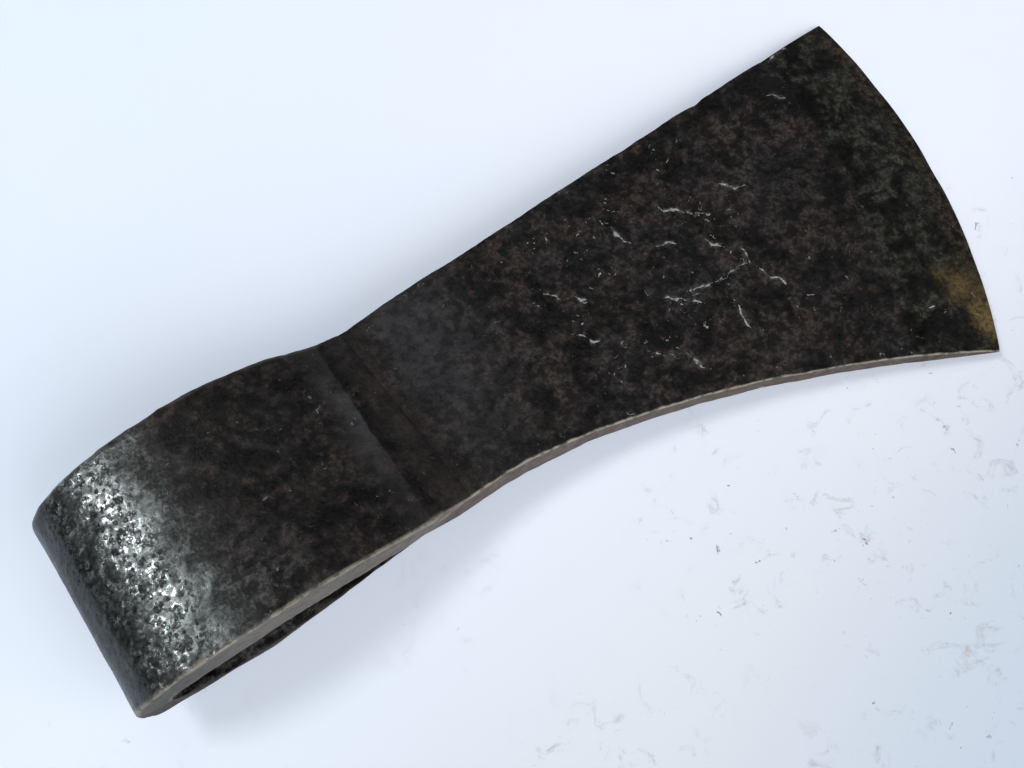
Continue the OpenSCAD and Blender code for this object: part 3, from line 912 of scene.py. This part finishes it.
def floor_material():
    """Pale board, bluer to the left, with darker, bluer painted shade in the near corner, a faint painted
    glow and a little dirt.
    """
    m = Nodes("pale_board")
    x, y = m.axis("X"), m.axis("Y")
    soft = m.noise(90, 3, 0.5, 0.0, 4)
    across = m.math("ADD", x, m.times(y, -0.7))
    colour = m.mix(m.ramp(across, -120.0, 160.0), FLOOR_BLUE, FLOOR_WHITE)
    colour = m.mix(m.ramp(soft, 0.35, 0.65, 0.0, 0.5), colour, FLOOR_SOFT)
    # Painted shade: the near corner turns darker and bluer.
    corner = m.ramp(m.math("ADD", m.times(y, -1.0), m.times(x, 0.25)), 95.0, 185.0, 0.0, 0.8)
    corner = m.times(corner, m.ramp(y, -330.0, -210.0))
    colour = m.mix(corner, colour, FLOOR_CORNER_SHADE)
    # Fine dirt, mostly in front of the beard side.
    near = m.times(m.ramp(y, 0.0, -50.0), m.ramp(m.noise(60, 3, 0.5, 0.3, 88), 0.38, 0.54))
    near = m.times(near, m.ramp(y, -240.0, -160.0))
    near = m.times(near, m.ramp(m.math("ABSOLUTE", x, 0.0), 380.0, 300.0))
    blot = m.ramp(m.noise(7.0, 6, 0.72, 0.8, 19), 0.55, 0.72)
    blot = m.times(blot, m.blend(near, 0.06, 1.0))
    colour = m.mix(m.times(blot, 0.60), colour, DUST)
    speck = m.ramp(m.noise(2.8, 4, 0.66, 0.8, 53), 0.670, 0.72)
    colour = m.mix(m.times(speck, m.blend(near, 0.06, 0.90)), colour, CRUMB)
    m.put(colour, m.bsdf.inputs["Base Color"])
    # Painted light: the floor glows faintly bluish to lift its shadows, less towards the near side.
    m.put(FLOOR_GLOW, m.bsdf.inputs["Emission Color"])
    m.put(m.ramp(y, -110.0, -10.0, 0.11, 0.28), m.bsdf.inputs["Emission Strength"])
    m.put(0.75, m.bsdf.inputs["Roughness"])
    m.put(0.15, m.bsdf.inputs["Specular IOR Level"])
    m.put(m.bump(m.noise(2.0, 4, 0.6), 0.05, 0.3), m.bsdf.inputs["Normal"])
    return m.material


# ---------------------------------------------------------------------------
# The head
# ---------------------------------------------------------------------------
PIECES = (
    ("eye_strap", build_strap, "strap", strap_material("strap_iron_forged"), "strap_iron"),
    ("blade", build_blade, "blade", plate_material("blade_iron_forged"), "blade_iron"),
    ("steel_bit", build_bit, "bit", plate_material("bit_steel_forged"), "bit_steel"),
)
for node_name, build, kind, material, slot_name in PIECES:
    piece = forge(build(), kind)
    piece.data.materials.clear()
    piece.data.materials.append(material)
    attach(piece, "root")
    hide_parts(node_name)

# ---------------------------------------------------------------------------
# Floor, light and camera
# ---------------------------------------------------------------------------
FLOOR_Z = cad_bounds[0].z - 0.1 * MM
FLOOR_HALF = 3.0
floor = mesh_object(
    "pale_floor",
    [(FLOOR_HALF * x, FLOOR_HALF * y, FLOOR_Z) for x, y in ((-1, -1), (1, -1), (1, 1), (-1, 1))],
    [(0, 1, 2, 3)],
)
floor.data.materials.append(floor_material())


def toward(azimuth, elevation):
    """Unit vector in this direction, in degrees from +X towards +Y and up from level."""
    a, e = math.radians(azimuth), math.radians(elevation)
    return math.cos(a) * math.cos(e), math.sin(a) * math.cos(e), math.sin(e)


def area_light(name, azimuth, elevation, distance, width, height, power, colour):
    """A soft panel seen from the head in this direction, facing it."""
    aim = Vector((0.07, -0.01, 0.0))
    direction = Vector(toward(azimuth, elevation))
    data = bpy.data.lights.new(name, "AREA")
    data.shape = "RECTANGLE"
    data.size, data.size_y = width, height
    data.energy = power
    data.color = colour
    obj = bpy.data.objects.new(name, data)
    obj.location = aim + direction * distance
    obj.rotation_mode = "QUATERNION"
    obj.rotation_quaternion = direction.to_track_quat("Z", "Y")
    bpy.context.scene.collection.objects.link(obj)


area_light("window", 137, 58, 1.6, 0.46, 0.34, 6.8, (0.95, 0.98, 1.0))
area_light("sky_fill", 58, 68, 1.8, 1.2, 0.8, 2.4, (0.88, 0.94, 1.0))
area_light("front_fill", -70, 38, 2.0, 1.6, 1.2, 12.5, (1.0, 0.99, 0.98))


DIM_TINT, BRIGHT_TINT = (1.0, 0.93, 0.88), (0.88, 0.95, 1.0)
BACKDROP = (0.80, 0.86, 0.93)


def room(bright, dims):
    """Soft light from all round, dimmer in the directions that the iron mirrors.

    Behind the floor the camera sees a plain backdrop in its place.
    """
    world = bpy.data.worlds.new("room")
    world.use_nodes = True
    tree = world.node_tree
    back = tree.nodes["Background"]
    coords = tree.nodes.new("ShaderNodeTexCoord")
    strength = None
    for azimuth, elevation, inner, outer, left in dims:
        dot = tree.nodes.new("ShaderNodeVectorMath")
        dot.operation = "DOT_PRODUCT"
        dot.inputs[1].default_value = toward(azimuth, elevation)
        tree.links.new(coords.outputs["Generated"], dot.inputs[0])
        fade = tree.nodes.new("ShaderNodeMapRange")
        fade.interpolation_type = "SMOOTHSTEP"
        low, high = math.cos(math.radians(outer)), math.cos(math.radians(inner))
        for name, number in (("From Min", low), ("From Max", high), ("To Min", 1.0), ("To Max", left)):
            fade.inputs[name].default_value = number
        tree.links.new(dot.outputs["Value"], fade.inputs["Value"])
        if strength is None:
            strength = fade.outputs["Result"]
        else:
            product = tree.nodes.new("ShaderNodeMath")
            product.operation = "MULTIPLY"
            tree.links.new(strength, product.inputs[0])
            tree.links.new(fade.outputs["Result"], product.inputs[1])
            strength = product.outputs[0]
    tint = tree.nodes.new("ShaderNodeMix")
    tint.data_type = "RGBA"
    tint.inputs[6].default_value = (*DIM_TINT, 1.0)
    tint.inputs[7].default_value = (*BRIGHT_TINT, 1.0)
    tree.links.new(strength, tint.inputs["Factor"])
    tree.links.new(tint.outputs[2], back.inputs["Color"])
    scaled = tree.nodes.new("ShaderNodeMath")
    scaled.operation = "MULTIPLY"
    scaled.inputs[1].default_value = bright
    tree.links.new(strength, scaled.inputs[0])
    tree.links.new(scaled.outputs[0], back.inputs["Strength"])
    plain = tree.nodes.new("ShaderNodeBackground")
    plain.inputs["Color"].default_value = (*BACKDROP, 1.0)
    seen = tree.nodes.new("ShaderNodeLightPath")
    pick = tree.nodes.new("ShaderNodeMixShader")
    tree.links.new(seen.outputs["Is Camera Ray"], pick.inputs[0])
    tree.links.new(back.outputs[0], pick.inputs[1])
    tree.links.new(plain.outputs[0], pick.inputs[2])
    tree.links.new(pick.outputs[0], tree.nodes["World Output"].inputs["Surface"])
    return world


# Each dim side: azimuth, elevation, where it is fully dim and where it ends, and what is left.
bpy.context.scene.world = room(1.25, ((45, 58, 38, 82, 0.04), (165, 8, 26, 54, 0.06)))

# ---------------------------------------------------------------------------
# Camera: above the beard side, looking down and forwards along the head
# ---------------------------------------------------------------------------
CAMERA_AT = Vector((0.01826, -0.0797, 0.22728))
LOOK = Vector((0.2215, 0.2890, -0.9313))
LEVEL = Vector((0.8123, -0.5831, 0.0123))
camera_data = bpy.data.cameras.new("camera")
camera_data.sensor_width = 36.0
camera_data.lens = 35.16
camera_data.clip_start, camera_data.clip_end = 0.01, 20.0
camera = bpy.data.objects.new("camera", camera_data)
bpy.context.scene.collection.objects.link(camera)
forward = LOOK.normalized()
right = (LEVEL - forward * LEVEL.dot(forward)).normalized()
up = right.cross(forward)
camera.matrix_world = Matrix((
    (right.x, up.x, -forward.x, CAMERA_AT.x),
    (right.y, up.y, -forward.y, CAMERA_AT.y),
    (right.z, up.z, -forward.z, CAMERA_AT.z),
    (0, 0, 0, 1),
))
bpy.context.scene.camera = camera

bpy.context.scene.view_settings.view_transform = "Standard"
bpy.context.scene.view_settings.look = "None"
bpy.context.scene.view_settings.exposure = 0.0

bpy.context.view_layer.update()
